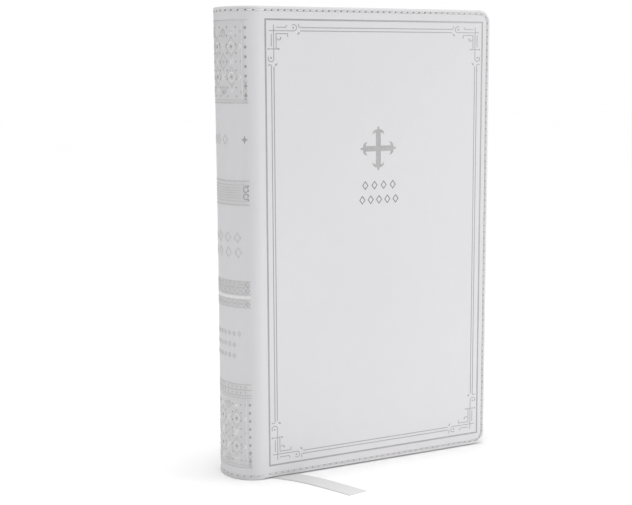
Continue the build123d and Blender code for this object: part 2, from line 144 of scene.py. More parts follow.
class Graph:
    """A node tree; add() makes any node from its type, settings and the values of its sockets."""

    def __init__(self, tree):
        self.tree = tree

    def add(self, kind, settings=None, inputs=None, output=0):
        node = self.tree.nodes.new(kind)
        for name, value in (settings or {}).items():
            setattr(node, name, value)
        for key, value in (inputs or {}).items():
            if isinstance(value, Link):
                self.tree.links.new(value.socket, node.inputs[key])
            else:
                node.inputs[key].default_value = value
        return Link(self, node.outputs[output])

    def math(self, operation, first, second=0.0):
        return self.add("ShaderNodeMath", {"operation": operation}, {0: first, 1: second})

    def vector(self, operation, first, second=(0.0, 0.0, 0.0)):
        return self.add("ShaderNodeVectorMath", {"operation": operation}, {0: first, 1: second})

    def split(self, vector):
        node = self.add("ShaderNodeSeparateXYZ", None, {0: vector})
        return [Link(self, socket) for socket in node.socket.node.outputs]

    def join(self, x, y, z):
        return self.add("ShaderNodeCombineXYZ", None, {0: x, 1: y, 2: z})

    def step(self, value, low, high):
        """0 below low, 1 above high and smooth between."""
        return self.add(
            "ShaderNodeMapRange", {"interpolation_type": "SMOOTHSTEP"},
            {0: value, 1: low, 2: high, 3: 0.0, 4: 1.0},
        )

    def band(self, value, low, high, soft):
        """1 between low and high, 0 outside, with soft edges."""
        risen = self.step(value, low - soft, low + soft)
        return risen * (1 - self.step(value, high - soft, high + soft))


class Finish(Graph):
    """One material, laid out in object coordinates or, where a piece bends, as it is at rest."""

    def __init__(self, name, bends=False, **constants):
        self.material = bpy.data.materials.new(name)
        self.material.use_nodes = True
        super().__init__(self.material.node_tree)
        self.shader = self.tree.nodes["Principled BSDF"]
        for socket, value in constants.items():
            self.shader.inputs[socket.replace("_", " ")].default_value = value
        if bends:
            self.place = self.kept(REST_PLACE, "Vector")
        else:
            self.place = self.add("ShaderNodeTexCoord", output="Object")

    def kept(self, name, output):
        """A value that the piece's mesh carries."""
        return self.add("ShaderNodeAttribute", {"attribute_name": name}, output=output)

    def stretched(self, x, y, z):
        """Object coordinates scaled along each axis."""
        return self.vector("MULTIPLY", self.place, (x, y, z))

    def noise(self, scale, detail=2.0, place=None):
        place = place or self.place
        return self.add(
            "ShaderNodeTexNoise", None, {"Vector": place, "Scale": scale, "Detail": detail}
        )

    def cells(self, scale):
        return self.add(
            "ShaderNodeTexVoronoi", {"feature": "SMOOTH_F1"},
            {"Vector": self.place, "Scale": scale},
        )

    def wave(self, value, pitch):
        """0 to 1 and back once every pitch."""
        return 0.5 + 0.5 * self.math("SINE", value * (2 * math.pi / pitch))

    def mix(self, factor, first, second):
        return self.add(
            "ShaderNodeMix", {"data_type": "RGBA"}, {0: factor, 6: first, 7: second}, output=2
        )

    def feed(self, **values):
        for name, value in values.items():
            self.tree.links.new(value.socket, self.shader.inputs[name.replace("_", " ")])

    def relief(self, height, depth, strength=1.0):
        """A bump of that depth in metres."""
        look = {"Strength": strength, "Distance": depth, "Height": height}
        self.feed(Normal=self.add("ShaderNodeBump", None, look))


def white(level, warmth=0.0):
    """A near-white colour, a little warm when warmth is above zero."""
    return (level * (1 + warmth), level, level * (1 - warmth), 1.0)


# ------------------------------------------------------------------ finishes
def leather_finish():
    """White grained imitation leather, pressed and greyed under the spine's stamping."""
    leather = Finish("white_leather", bends=True, Coat_Roughness=0.45, Specular_IOR_Level=0.35)
    x, _, z = leather.split(leather.place)
    broad = leather.noise(16, 2)
    mottle = leather.noise(120, 4)
    pebbles = leather.cells(1150)
    pores = leather.noise(3800, 2)
    tone = leather.mix(
        broad * 0.6 + mottle * 0.4, (0.700, 0.692, 0.707, 1), (0.760, 0.752, 0.767, 1)
    )
    on_spine = 1 - leather.step(x, HINGE_X - 7.2 * MM, HINGE_X - 6.4 * MM)
    grounds = [leather.band(z, low * MM, high * MM, 0.25 * MM) for low, high in SPINE_GROUNDS]
    stamped = sum(grounds) * on_spine
    pressed = leather.mix(stamped * (0.25 + 0.5 * mottle), tone, (0.630, 0.626, 0.636, 1))
    rim = leather.step(leather.math("ABSOLUTE", z - HEIGHT / 2), HEIGHT / 2 - 0.9 * MM, HEIGHT / 2)
    fore = leather.step(x, FORE_X - 0.9 * MM, FORE_X)
    edge = leather.math("MAXIMUM", rim, fore)
    worn = leather.mix(edge * (0.25 + 0.6 * leather.noise(260, 3)), pressed, white(0.66, 0.012))
    leather.feed(
        Base_Color=worn,
        Roughness=0.44 + 0.16 * mottle + 0.08 * pebbles - 0.1 * stamped,
        Coat_Weight=0.05 + 0.05 * broad,
    )
    leather.relief(pebbles * 0.7 + pores * 0.35 + broad * 1.5, 0.055 * MM, 0.55)
    return leather.material


def foil_finish(name, dark, light, metal=0.6):
    """Silver foil between two greys; less metal where it has worn to the leather."""
    foil = Finish(name, Specular_IOR_Level=0.6)
    flakes = foil.noise(900, 3)
    rub = foil.noise(60, 2)
    foil.feed(
        Base_Color=foil.mix(flakes, white(dark, 0.002), white(light, 0.002)),
        Metallic=metal + 0.35 * metal * rub,
        Roughness=0.36 + 0.24 * flakes,
    )
    foil.relief(flakes, 0.02 * MM, 0.5)
    return foil.material


def stitch_finish():
    """Plied white thread."""
    thread = Finish("stitching_thread", Sheen_Weight=0.25, Sheen_Roughness=0.4)
    x, y, z = thread.split(thread.place)
    plies = thread.wave(x + z + 0.7 * y, 0.32 * MM)
    fuzz = thread.noise(2500, 3)
    thread.feed(
        Base_Color=thread.mix(plies * 0.6 + fuzz * 0.4, white(0.74), white(0.93)),
        Roughness=0.55 + 0.25 * fuzz,
    )
    thread.relief(plies + 0.4 * fuzz, 0.05 * MM, 0.8)
    return thread.material


def hole_shade_finish():
    """Painted shade for a needle hole: dark greys, painted lighter along the fore edge and the
    tail.
    """
    hole = Finish("needle_hole", bends=True, Specular_IOR_Level=0.1)
    x, _, z = hole.split(hole.place)
    less_shade = hole.math(
        "MAXIMUM", 0.65 * hole.step(x, 20 * MM, 67 * MM),
        0.6 * (1 - hole.step(z, 3 * MM, 9 * MM)),
    )
    # painted shade: these dark greys stand in for the shadow inside the hole
    deep = hole.mix(hole.noise(1800, 2), white(0.15, 0.02), white(0.32, 0.02))
    hole.feed(
        Base_Color=hole.mix(less_shade, deep, white(0.70)),
        Roughness=0.75 + 0.2 * hole.noise(900),
    )
    return hole.material


def paper_finish(name, level, warmth, stripes=None, bends=False):
    """Paper with fibres; stripes is the pitch of the leaves where only their edges are seen."""
    paper = Finish(name, bends=bends, Specular_IOR_Level=0.25)
    fibres = paper.noise(700, 4)
    cloud = paper.noise(30, 3)
    tone = paper.mix(
        fibres * 0.4 + cloud * 0.6, white(level * 0.96, warmth), white(level, warmth * 0.7)
    )
    if stripes:
        leaves = paper.noise(1, 2, paper.stretched(60, 1 / stripes, 60))
        fine = paper.noise(1, 1, paper.stretched(12, 2.7 / stripes, 12))
        edges = paper.step(leaves * 0.6 + fine * 0.4, 0.34, 0.62)
        if bends:
            edges = paper.math("MAXIMUM", edges, paper.kept(PAGE_FACE, "Fac"))
        tone = paper.mix(edges, white(level * 0.72, warmth * 1.6), tone)
        paper.relief(edges + 0.2 * fibres, 0.04 * MM, 0.6)
    else:
        paper.relief(fibres + 2 * cloud, 0.03 * MM, 0.4)
    paper.feed(Base_Color=tone, Roughness=0.62 + 0.25 * fibres)
    return paper.material


def board_finish():
    """Grey bookbinder's board."""
    board = Finish("grey_board", Specular_IOR_Level=0.2)
    fibres = board.noise(420, 5)
    board.feed(
        Base_Color=board.mix(fibres, (0.20, 0.19, 0.18, 1), (0.36, 0.35, 0.33, 1)),
        Roughness=0.8 + 0.15 * fibres,
    )
    board.relief(fibres, 0.06 * MM)
    return board.material


def satin_finish():
    """Satin: fine ribs across its width, and a soft gloss that runs along it."""
    satin = Finish("satin_ribbon", Sheen_Weight=0.3, Sheen_Roughness=0.3, Anisotropic=0.5)
    place = satin.add("ShaderNodeUVMap", {"uv_map": "weave"})
    across, along, _ = satin.split(place)
    ribs = satin.wave(along, 0.34 * MM)
    floats = satin.wave(across, 0.22 * MM)
    selvedge = satin.step(
        satin.math("ABSOLUTE", across), RIBBON_HALF - 0.55 * MM, RIBBON_HALF - 0.25 * MM
    )
    streaks = satin.noise(1, 3, satin.vector("MULTIPLY", place, (900, 60, 0)))
    woven = ribs * 0.3 + streaks * 0.5 + floats * 0.2
    cloth = satin.mix(woven, white(0.62, -0.004), white(0.74))
    satin.feed(
        Base_Color=satin.mix(selvedge * 0.5, cloth, white(0.50)),
        Roughness=0.30 + 0.2 * streaks + 0.2 * selvedge,
    )
    satin.relief(ribs * 0.5 + floats * 0.3 + selvedge, 0.04 * MM, 0.7)
    return satin.material


def gauze_finish(name, pitch, dark, light, depth):
    """An open weave of round threads up and round the spine."""
    gauze = Finish(name, Specular_IOR_Level=0.2)
    _, y, z = gauze.split(gauze.place)
    weave = gauze.math("MAXIMUM", gauze.wave(y, pitch * MM), gauze.wave(z, pitch * MM))
    fuzz = gauze.noise(1500, 3)
    gauze.feed(
        Base_Color=gauze.mix(weave * 0.8 + fuzz * 0.2, dark, light), Roughness=0.75 + 0.2 * fuzz
    )
    gauze.relief(weave + 0.3 * fuzz, depth * MM)
    return gauze.material


def silk_finish():
    """Headband silk in two colours, wound in stripes."""
    silk = Finish("band_silk", Sheen_Weight=0.3)
    _, y, _ = silk.split(silk.place)
    gloss = silk.noise(1600, 2)
    stripe = silk.step(silk.wave(y, 2.4 * MM), 0.42, 0.58)
    silk.feed(
        Base_Color=silk.mix(stripe, white(0.80, 0.01), (0.50, 0.52, 0.56, 1)),
        Roughness=0.34 + 0.25 * gloss,
    )
    silk.relief(gloss, 0.03 * MM)
    return silk.material


# the stamped grounds on the spine, tail to head, in millimetres
SPINE_GROUNDS = ((5.8, 46.3), (82.2, 94.9), (129.6, 141.1), (175.8, 213.0))

PAPERS = {
    "endpaper": {"level": 0.80, "warmth": 0.018},
    "plate_paper": {"level": 0.82, "warmth": 0.012},
    "thin_paper": {"level": 0.80, "warmth": 0.022, "stripes": 0.14 * MM},
}
leaf_papers = {
    name: paper_finish(name + "_leaf", bends=True, **look) for name, look in PAPERS.items()
}
finishes = {
    "white_leather": leather_finish(),
    "silver_foil": foil_finish("silver_foil", 0.33, 0.50),
    "stitching_thread": stitch_finish(),
    "grey_board": board_finish(),
    "lining_paper": paper_finish("lining_paper", 0.55, 0.10),
    "mull_gauze": gauze_finish("mull_gauze", 0.9, white(0.38, 0.06), white(0.74, 0.03), 0.12),
    "sewing_thread": gauze_finish(
        "sewing_thread", 0.35, white(0.58, 0.03), white(0.80, 0.02), 0.06
    ),
    "band_silk": silk_finish(),
    "satin_ribbon": satin_finish(),
    **{name: paper_finish(name, **look) for name, look in PAPERS.items()},
}
STAMPS = {
    "foil": finishes["silver_foil"],
    "worn": foil_finish("worn_foil", 0.50, 0.68, metal=0.35),
    "pearl": foil_finish("pearl_foil", 0.74, 0.90, metal=0.15),
}
# painted shade for the needle holes
needle_hole = hole_shade_finish()
title_foil = foil_finish("title_foil", 0.20, 0.33)


# ------------------------------------------------------------------ camera, table and lights
def set_camera():
    """A long lens a little above the book, turned towards its spine."""
    camera = bpy.data.objects.new("camera", bpy.data.cameras.new("camera"))
    camera.data.sensor_width = 36
    camera.data.lens = CAMERA_LENS
    camera.data.clip_start = 0.01
    yaw, pitch, roll = (math.radians(angle) for angle in CAMERA_TURN)
    forward = Vector(
        (math.sin(yaw) * math.cos(pitch), math.cos(yaw) * math.cos(pitch), -math.sin(pitch))
    )
    level = Vector((math.cos(yaw), -math.sin(yaw), 0))
    upright = level.cross(forward)
    right = level * math.cos(roll) + upright * math.sin(roll)
    up = upright * math.cos(roll) - level * math.sin(roll)
    turn = Matrix((right, up, -forward)).transposed().to_4x4()
    camera.matrix_world = Matrix.Translation(CAMERA_PLACE) @ turn
    scene.collection.objects.link(camera)
    scene.camera = camera


def set_table():
    """A wide pale table top."""
    table = Finish("table", Specular_IOR_Level=0.1)
    table.feed(
        Base_Color=table.mix(table.noise(3, 2), white(0.93), white(0.95)),
        Roughness=0.85 + 0.1 * table.noise(40),
    )
    mesh = bpy.data.meshes.new("table")
    mesh.from_pydata([(-4, -4, 0), (4, -4, 0), (4, 4, 0), (-4, 4, 0)], [], [(0, 1, 2, 3)])
    mesh.materials.append(table.material)
    top = bpy.data.objects.new("table", mesh)
    scene.collection.objects.link(top)


def add_light(name, place, target, size, power, spread=180):
    """A rectangular studio lamp that faces its target."""
    light = bpy.data.lights.new(name, "AREA")
    light.spread = math.radians(spread)
    light.shape = "RECTANGLE"
    light.size, light.size_y = size
    light.energy = power
    lamp = bpy.data.objects.new(name, light)
    lamp.location = place
    lamp.rotation_euler = (Vector(target) - Vector(place)).to_track_quat("-Z", "Y").to_euler()
    scene.collection.objects.link(lamp)


def set_lights():
    """A white room: the backdrop is white to the eye and a little dimmer as a light."""
    world = bpy.data.worlds.new("studio")
    world.use_nodes = True
    room = Graph(world.node_tree)
    seen = room.add("ShaderNodeLightPath", output="Is Camera Ray")
    sky = world.node_tree.nodes["Background"]
    strength = ROOM_LIGHT + (1.0 - ROOM_LIGHT) * seen
    world.node_tree.links.new(strength.socket, sky.inputs["Strength"])
    sky.inputs["Color"].default_value = (1.0, 1.0, 1.0, 1.0)
    scene.world = world
    scene.view_settings.view_transform = "Standard"
    add_light("key", (1.10, -0.62, 0.16), (0, 0, -0.08), (0.5, 0.5), 2.15, spread=90)
    add_light("fill", (-0.95, -0.35, 0.26), (0, 0, 0.10), (0.7, 0.7), 0.8)
    overhead = bpy.data.lights.new("overhead", "SUN")
    overhead.angle = math.radians(24)
    overhead.energy = 2.15
    scene.collection.objects.link(bpy.data.objects.new("overhead", overhead))


# ------------------------------------------------------------------ making and naming pieces
def piece_from(mesh, name, finish):
    """A named object at the origin with one finish."""
    mesh.name = name
    mesh.materials.clear()
    mesh.materials.append(finish)
    piece = bpy.data.objects.new(name, mesh)
    scene.collection.objects.link(piece)
    return piece


def from_bmesh(bm, name, finish):
    """A piece that also carries each point's place at rest."""
    layers = bm.verts.layers.float_vector
    rest = layers.get(REST_PLACE) or layers.new(REST_PLACE)
    for vert in bm.verts:
        vert[rest] = vert.co
    mesh = bpy.data.meshes.new(name)
    bm.to_mesh(mesh)
    bm.free()
    return piece_from(mesh, name, finish)


def settle(piece, body, slot, *nodes):
    """The piece rides on its body and stands for CAD nodes."""
    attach(piece, body)
    if nodes:
        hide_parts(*nodes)


def bend_with(piece, body, slot, start, end, *nodes):
    """Bakes the piece's placement into its mesh; the piece stands for CAD nodes."""
    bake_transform(piece)
    if nodes:
        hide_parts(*nodes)


def joined(pieces, name):
    """One piece made of several that share a finish."""
    bm = bmesh.new()
    finish = pieces[0].data.materials[0]
    for piece in pieces:
        bm.from_mesh(piece.data)
        bpy.data.objects.remove(piece)
    return from_bmesh(bm, name, finish)


def smooth_by_angle(bm, limit):
    """Smooth shading, with flat faces kept apart from the curved ones that they meet."""
    bm.normal_update()

    def is_flat(face):
        return max(abs(value) for value in face.normal) > 0.99995

    for face in bm.faces:
        face.smooth = True
    for edge in bm.edges:
        if len(edge.link_faces) == 2:
            first, second = edge.link_faces
            alike = is_flat(first) == is_flat(second)
            edge.smooth = alike and edge.calc_face_angle(0) < math.radians(limit)


# ------------------------------------------------------------------ the ribbon
def ribbon_line():
    """The ribbon's route: down out of the leaves, out under the front cover, along the table."""
    route = (
        (-57, 0, 3.5), (-57, 0, 0.15), (-49.5, -10.5, 0.15),
        (-39.5, -22.5, 0.15), (-32.5, -36, 0.15), (-25.5, -54, 0.15),
    )
    curve = bpy.data.curves.new("ribbon_line", "CURVE")
    curve.dimensions = "3D"
    curve.resolution_u = 24
    spline = curve.splines.new("NURBS")
    spline.points.add(len(route) - 1)
    for point, (x, y, z) in zip(spline.points, route):
        point.co = (x * MM, y * MM, z * MM, 1)
    spline.order_u = 3
    spline.use_endpoint_u = True
    line = bpy.data.objects.new("ribbon_line", curve)
    scene.collection.objects.link(line)
    bpy.context.view_layer.update()
    mesh = bpy.data.meshes.new_from_object(line)
    points = [vertex.co.copy() for vertex in mesh.vertices]
    bpy.data.objects.remove(line)
    bpy.data.meshes.remove(mesh)
    return points


def ribbon_section(point, across, up, lean=Vector(), phase=None):
    """One cross-section of the ribbon as (top, low, place across), thinner at its selvedges."""
    section = []
    for strand in range(RIBBON_STRANDS + 1):
        share = 2 * strand / RIBBON_STRANDS - 1
        lift = RIBBON_HALF_THICK * (0.55 if strand in (0, RIBBON_STRANDS) else 1.0)
        ripple = 0.0 if phase is None else max(0.0, RIBBON_RIPPLE * math.sin(share * 3 + phase))
        base = point + (across + lean) * (RIBBON_HALF * share)
        section.append((base + up * (lift + ripple), base - up * lift * 0.9, RIBBON_HALF * share))
    return section


def woven_strip(sections, marks, name):
    """A thin closed strip through cross-sections, with its weave laid out in metres."""
    bm = bmesh.new()
    weave = bm.loops.layers.uv.new("weave")
    rings = [
        [(bm.verts.new(top), bm.verts.new(low), place) for top, low, place in section]
        for section in sections
    ]

    def face(corners, places):
        made = bm.faces.new(corners)
        made.smooth = True
        for loop, place in zip(made.loops, places):
            loop[weave].uv = place

    for (a, b), (u, v) in zip(zip(rings, rings[1:]), zip(marks, marks[1:])):
        for side in range(RIBBON_STRANDS):
            p, q, r, s = a[side], a[side + 1], b[side + 1], b[side]
            places = [(p[2], u), (q[2], u), (r[2], v), (s[2], v)]
            face([p[0], q[0], r[0], s[0]], places)
            face([s[1], r[1], q[1], p[1]], places[::-1])
        for side, flip in ((0, False), (RIBBON_STRANDS, True)):
            corners = [a[side][0], b[side][0], b[side][1], a[side][1]]
            places = [(a[side][2], u), (a[side][2], v), (a[side][2], v), (a[side][2], u)]
            face(corners[::-1] if flip else corners, places)
    for ring, mark in ((rings[0], marks[0]), (rings[-1], marks[-1])):
        outline = [item[0] for item in ring] + [item[1] for item in reversed(ring)]
        face(outline, [(0.0, mark)] * len(outline))
    bmesh.ops.recalc_face_normals(bm, faces=bm.faces)
    return from_bmesh(bm, name, finishes["satin_ribbon"])


def ribbon_tail():
    """The ribbon's free end: it twists flat onto the table and ends in a slanted cut."""
    points = ribbon_line()
    travelled, sections, marks = 0.0, [], []
    total = sum((b - a).length for a, b in zip(points, points[1:]))
    for index, point in enumerate(points):
        before, after = points[max(index - 1, 0)], points[min(index + 1, len(points) - 1)]
        along = (after - before).normalized()
        travelled += (point - points[index - 1]).length if index else 0.0
        level = Vector((along.x, along.y, 0))
        across = Vector((1, 0, 0))
        turned = min(1.0, max(0.0, (travelled - RIBBON_TWIST[0]) / RIBBON_TWIST[1]))
        if level.length > 0.2:
            aside = Vector((-level.y, level.x, 0)).normalized()
            aside = aside if aside.x > 0 else -aside
            across = across.lerp(aside, turned * turned * (3 - 2 * turned)).normalized()
        up = across.cross(along).normalized()
        up = up if up.z > 0 or abs(up.z) < 0.3 else -up
        near_end = max(0.0, 1 - (total - travelled) / RIBBON_CUT)
        phase = travelled / RIBBON_WAVE if index > RIBBON_LEVEL_FROM else None
        lean = along * (RIBBON_SLANT * near_end)
        sections.append(ribbon_section(point, across, up, lean, phase))
        marks.append(travelled)
    piece = woven_strip(sections, marks, "ribbon_free_tail")
    settle(piece, "text_block", "satin_ribbon", "ribbon_tail")


def ribbon_between_leaves():
    """The ribbon down between the leaves, and its end glued flat over the head of the block."""
    low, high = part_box("ribbon_marker")
    middle, head = high[0] - RIBBON_HALF, high[2] - 2 * RIBBON_HALF_THICK
    across, deep, up = Vector((1, 0, 0)), Vector((0, 1, 0)), Vector((0, 0, 1))
    drop, glued = 40, 8
    heights = [head + (low[2] - head) * step / drop for step in range(drop + 1)]
    hanging = [ribbon_section(Vector((middle, 0, height)), across, deep) for height in heights]
    places = [low[0] + RIBBON_GLUED * step / glued for step in range(glued + 1)]
    flat = [ribbon_section(Vector((x, 0, head + RIBBON_HALF_THICK)), deep, up) for x in places]
    strips = [woven_strip(hanging, heights, "hanging"), woven_strip(flat, places, "glued")]
    settle(joined(strips, "ribbon_in_block"), "text_block", "satin_ribbon", "ribbon_marker")


# ------------------------------------------------------------------ Geometry Nodes recipes
class Recipe(Graph):
    """A Geometry Nodes tree with named inputs."""

    KINDS = {
        float: "NodeSocketFloat", int: "NodeSocketInt", tuple: "NodeSocketVector",
        bool: "NodeSocketBool",
    }

    def __init__(self, name, **inputs):
        tree = bpy.data.node_groups.new(name, "GeometryNodeTree")
        super().__init__(tree)
        tree.interface.new_socket("Path", in_out="INPUT", socket_type="NodeSocketGeometry")
        for key, value in inputs.items():
            socket = tree.interface.new_socket(
                key.replace("_", " "), in_out="INPUT", socket_type=self.KINDS[type(value)]
            )
            socket.default_value = value
        tree.interface.new_socket("Finish", in_out="INPUT", socket_type="NodeSocketMaterial")
        tree.interface.new_socket("Piece", in_out="OUTPUT", socket_type="NodeSocketGeometry")
        entry = tree.nodes.new("NodeGroupInput")
        self.given = {socket.name: Link(self, socket) for socket in entry.outputs if socket.name}

    def shape(self, kind, **inputs):
        """A geometry node without settings; underscores stand for the spaces in its inputs."""
        inputs = {key.replace("_", " "): value for key, value in inputs.items()}
        return self.add("GeometryNode" + kind, None, inputs)

    def finish(self, geometry):
        painted = self.shape("SetMaterial", Geometry=geometry, Material=self.given["Finish"])
        leave = self.tree.nodes.new("NodeGroupOutput")
        self.tree.links.new(painted.socket, leave.inputs[0])

    def keep(self, geometry, name, value, kind, domain):
        """Stores a value on the geometry under a name that a finish can read."""
        return self.add(
            "GeometryNodeStoreNamedAttribute", {"data_type": kind, "domain": domain},
            {"Geometry": geometry, "Name": name, "Value": value},
        )

    def keep_rest(self, geometry):
        """Stores where each point lies before the covers turn."""
        place = self.add("GeometryNodeInputPosition")
        return self.keep(geometry, REST_PLACE, place, "FLOAT_VECTOR", "POINT")

    def row(self, count, offset, start=(0.0, 0.0, 0.0)):
        """Points at an even spacing."""
        return self.add(
            "GeometryNodeMeshLine", {"mode": "OFFSET", "count_mode": "TOTAL"},
            {"Count": count, "Start Location": start, "Offset": offset},
        )

    def copied(self, geometry, points, **turn):
        """The geometry repeated on every point."""
        copies = self.shape("InstanceOnPoints", Points=points, Instance=geometry, **turn)
        return self.shape("RealizeInstances", Geometry=copies)

    def make(self, name, finish, path=None, **values):
        """Runs the recipe once and returns its result as a plain piece."""
        path = path or bpy.data.meshes.new(name + "_path")
        holder = bpy.data.objects.new(name + "_holder", path)
        scene.collection.objects.link(holder)
        modifier = holder.modifiers.new("recipe", "NODES")
        modifier.node_group = self.tree
        values["Finish"] = finish
        for item in self.tree.interface.items_tree:
            key = item.name.replace(" ", "_")
            if item.in_out == "INPUT" and key in values:
                modifier[item.identifier] = values[key]
        depsgraph = bpy.context.evaluated_depsgraph_get()
        made = holder.evaluated_get(depsgraph)
        mesh = bpy.data.meshes.new_from_object(made, depsgraph=depsgraph)
        holder.modifiers.remove(modifier)
        bpy.data.objects.remove(holder)
        return piece_from(mesh, name, finish)


def stitch_recipe():
    """Short arched threads at an even pitch along a path, standing on the surface under it."""
    recipe = Recipe(
        "stitches_along_path", Pitch=STITCH_PITCH, Shift=0.0, Length=2.4 * MM, Thickness=0.5 * MM,
        Crown=0.3 * MM, Sink=0.1 * MM, Turn=0.0, Slant=0.0, Centre=(0.0, 0.0, 0.0),
        Bulge=(0.0, 1.0, 0.0), Seed=1,
    )
    given = recipe.given
    curve = recipe.add("GeometryNodeMeshToCurve", None, {0: given["Path"]})
    points = recipe.add(
        "GeometryNodeResampleCurve", {"mode": "LENGTH"}, {"Curve": curve, "Length": given["Pitch"]}
    )
    tangent = recipe.add("GeometryNodeInputTangent")
    position = recipe.add("GeometryNodeInputPosition")
    from_centre = recipe.vector("SUBTRACT", position, given["Centre"])
    outward = recipe.vector("NORMALIZE", recipe.vector("MULTIPLY", from_centre, given["Bulge"]))
    jitter = recipe.add(
        "FunctionNodeRandomValue", {"data_type": "FLOAT"},
        {2: -0.06 * MM, 3: 0.06 * MM, 8: given["Seed"]}, output=1,
    )
    move = recipe.add(
        "ShaderNodeVectorMath", {"operation": "SCALE"}, {0: tangent, 3: given["Shift"] + jitter}
    )
    points = recipe.shape("SetPosition", Geometry=points, Offset=move)
    facing = recipe.add("FunctionNodeAlignRotationToVector", {"axis": "X"}, {"Vector": tangent})
    facing = recipe.add(
        "FunctionNodeAlignRotationToVector", {"axis": "Z", "pivot_axis": "X"},
        {"Rotation": facing, "Vector": outward},
    )
    half, sink = given["Length"] / 2, 0 - given["Sink"]
    arch = recipe.shape(
        "CurveQuadraticBezier", Resolution=6,
        Start=recipe.join(0 - half, 0 - given["Slant"], sink),
        Middle=recipe.join(0.0, 0.0, given["Crown"] * 2),
        End=recipe.join(half, given["Slant"], sink),
    )
    share = recipe.add("GeometryNodeSplineParameter")
    swell = recipe.math("SQRT", recipe.math("MAXIMUM", 1.02 - (share * 2 - 1) ** 2, 0.08))
    arch = recipe.shape("SetCurveRadius", Curve=arch, Radius=swell)
    section = recipe.shape("CurvePrimitiveCircle", Resolution=6, Radius=given["Thickness"] / 2)
    thread = recipe.shape("CurveToMesh", Curve=arch, Profile_Curve=section, Fill_Caps=True)
    turn = recipe.join(0.0, 0.0, given["Turn"])
    thread = recipe.shape("Transform", Geometry=thread, Rotation=turn)
    recipe.finish(recipe.keep_rest(recipe.copied(thread, points, Rotation=facing)))
    return recipe


def leaf_recipe():
    """A stack of leaves: their backs follow the rounded spine, their fore edges a hollow."""
    recipe = Recipe(
        "stacked_leaves", Count=LEAVES_IN_SECTION, First=0.0, Pitch=0.2 * MM, Thickness=0.17 * MM,
        Low=3.5 * MM, High=215.5 * MM, Fore=BLOCK_FORE, Back=HINGE_X, Back_Depth=0.0,
        Ruffle=0.15 * MM, Seed=1,
    )
    given = recipe.given
    tall = given["High"] - given["Low"]
    leaf = recipe.shape(
        "MeshCube", Size=recipe.join(1.0, given["Thickness"], tall), Vertices_X=LEAF_STEPS,
        Vertices_Y=2, Vertices_Z=2,
    )
    facing = recipe.split(recipe.add("GeometryNodeInputNormal"))[1]
    leaf = recipe.keep(leaf, PAGE_FACE, recipe.math("ABSOLUTE", facing), "FLOAT", "FACE")
    start = recipe.join(0.5, given["First"], given["Low"] + tall / 2)
    line = recipe.row(given["Count"], recipe.join(0.0, given["Pitch"], 0.0), start)
    stack = recipe.copied(leaf, line)
    x, y, z = recipe.split(recipe.add("GeometryNodeInputPosition"))
    number = recipe.math("ROUND", (y - given["First"]) / given["Pitch"])
    uneven = recipe.add(
        "FunctionNodeRandomValue", {"data_type": "FLOAT"},
        {2: 0.0, 3: 1.0, 7: number, 8: given["Seed"]}, output=1,
    )
    arc = recipe.math("SQRT", FORE_ARC**2 - y * y)
    fore = given["Fore"] + (FORE_ARC - FORE_HOLLOW) - arc - uneven * given["Ruffle"]
    bulge = recipe.math("SQRT", recipe.math("MAXIMUM", 1 - (y / BLOCK_HALF) ** 2, 0.0))
    back = given["Back"] - given["Back Depth"] * bulge
    across = back + (fore - back) * x ** 1.7
    middle = given["Low"] + tall / 2
    upright = middle + (z - middle) * (1 - uneven * given["Ruffle"] * 4)
    place = recipe.join(across, y, upright)
    recipe.finish(recipe.keep_rest(recipe.shape("SetPosition", Geometry=stack, Position=place)))
    return recipe


def wrapped(recipe, geometry):
    """Rolls a flat pattern, laid out as (across, depth, height), onto the rounded spine."""
    across, depth, height = recipe.split(recipe.add("GeometryNodeInputPosition"))
    angle = across / SPINE_ROLL
    waist = SPINE_WAIST * recipe.math("SINE", height * (math.pi / HEIGHT))
    x = HINGE_X - (SPINE_DEPTH - waist - depth) * recipe.math("COSINE", angle)
    y = (HALF - depth) * recipe.math("SINE", angle)
    return recipe.shape("SetPosition", Geometry=geometry, Position=recipe.join(x, y, height))


def motif_recipe():
    """Rows of small stamped rings or solid marks on the spine; four sides make a lozenge."""
    recipe = Recipe(
        "stamped_motifs", Sides=4, Solid=False, Radius=1.5 * MM, Aspect=1.3, Stroke=0.4 * MM,
        Columns=1, Spacing=4 * MM, Rows=1, Row_Spacing=4 * MM, Middle=(0.0, 0.0, 0.0),
        Thickness=0.1 * MM,
    )
    given = recipe.given
    sides, radius, thick = given["Sides"], given["Radius"], given["Thickness"]
    outline = recipe.shape("CurvePrimitiveCircle", Resolution=sides, Radius=radius)
    bar = recipe.shape("CurvePrimitiveQuadrilateral", Width=given["Stroke"], Height=thick)
    ring = recipe.shape("CurveToMesh", Curve=outline, Profile_Curve=bar)
    disc = recipe.shape("MeshCylinder", Vertices=sides, Radius=radius, Depth=thick)
    mark = recipe.add(
        "GeometryNodeSwitch", {"input_type": "GEOMETRY"}, {0: given["Solid"], 1: ring, 2: disc}
    )
    mark = recipe.shape(
        "Transform", Geometry=mark, Rotation=(math.pi / 2, 0.0, 0.0),
        Scale=recipe.join(1.0, given["Aspect"], 1.0),
    )
    columns = recipe.row(given["Columns"], recipe.join(given["Spacing"], 0.0, 0.0))
    rows = recipe.row(given["Rows"], recipe.join(0.0, 0.0, given["Row Spacing"]))
    grid = recipe.copied(recipe.copied(mark, columns), rows)
    start = recipe.join(
        (1 - given["Columns"]) * given["Spacing"] / 2, SPINE_FACE,
        (1 - given["Rows"]) * given["Row Spacing"] / 2,
    )
    start = recipe.vector("ADD", start, given["Middle"])
    recipe.finish(wrapped(recipe, recipe.shape("Transform", Geometry=grid, Translation=start)))
    return recipe


